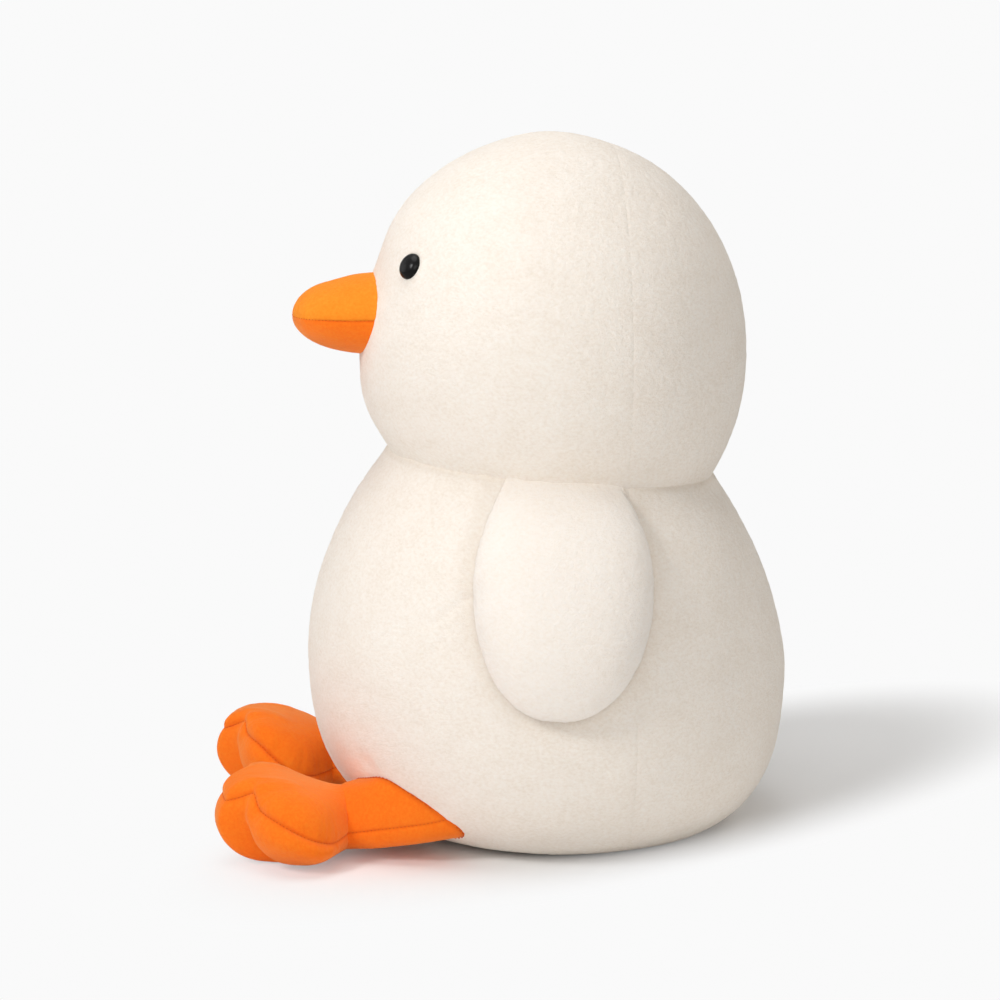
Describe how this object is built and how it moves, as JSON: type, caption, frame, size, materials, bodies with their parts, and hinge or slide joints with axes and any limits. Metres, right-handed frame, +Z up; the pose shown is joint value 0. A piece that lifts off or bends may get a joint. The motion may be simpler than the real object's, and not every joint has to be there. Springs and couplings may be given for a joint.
{
  "type": "plush duck",
  "caption": "Sitting stuffed toy duck of cream velour with a soft orange beak, wings that lift at their top seam and webbed feet on short legs.",
  "frame": {"origin": "on the flat underside, in the floor plane, straight below the middle of the neck", "axes": "+Z up, -Y the way the duck faces, +X its left side"},
  "size_m": [0.3162, 0.3312, 0.398],
  "materials": {
    "velour": "short dense pile",
    "orange_cloth": "short napped cloth",
    "filling": "loose polyester fibre",
    "eye": "polished",
    "washer": "moulded"
  },
  "bodies": {
    "torso": {"base_panel": "velour", "body_front_panel": "velour", "body_back_panel": "velour", "body_filling": "filling", "head_front_panel": "velour", "head_back_panel": "velour", "head_filling": "filling", "beak_upper_panel": "orange_cloth", "beak_lower_panel": "orange_cloth", "beak_filling": "filling", "left_eye": "eye", "left_eye_washer": "washer", "right_eye": "eye", "right_eye_washer": "washer"},
    "left_wing": {"left_wing_outer_panel": "velour", "left_wing_inner_panel": "velour", "left_wing_filling": "filling"},
    "right_wing": {"right_wing_outer_panel": "velour", "right_wing_inner_panel": "velour", "right_wing_filling": "filling"},
    "left_leg": {"left_leg_upper_panel": "orange_cloth", "left_leg_lower_panel": "orange_cloth", "left_leg_filling": "filling", "left_foot_top_panel": "orange_cloth", "left_foot_sole_panel": "orange_cloth", "left_foot_filling": "filling"},
    "right_leg": {"right_leg_upper_panel": "orange_cloth", "right_leg_lower_panel": "orange_cloth", "right_leg_filling": "filling", "right_foot_top_panel": "orange_cloth", "right_foot_sole_panel": "orange_cloth", "right_foot_filling": "filling"}
  },
  "joints": [
    {"name": "left_wing_lift", "type": "hinge", "parent": "torso", "child": "left_wing", "pos_m": [0.0955, 0, 0.211], "axis": [0, -1, 0], "range_deg": [0, 65]},
    {"name": "right_wing_lift", "type": "hinge", "parent": "torso", "child": "right_wing", "pos_m": [-0.0955, 0, 0.211], "axis": [0, 1, 0], "range_deg": [0, 65]},
    {"name": "left_leg_lift", "type": "hinge", "parent": "torso", "child": "left_leg", "pos_m": [0.07159, -0.10707, 0.04308], "axis": [-0.8366, -0.5478, 0], "range_deg": [0, 35]},
    {"name": "right_leg_lift", "type": "hinge", "parent": "torso", "child": "right_leg", "pos_m": [-0.07159, -0.10707, 0.04308], "axis": [-0.8366, 0.5478, 0], "range_deg": [0, 35]}
  ]
}
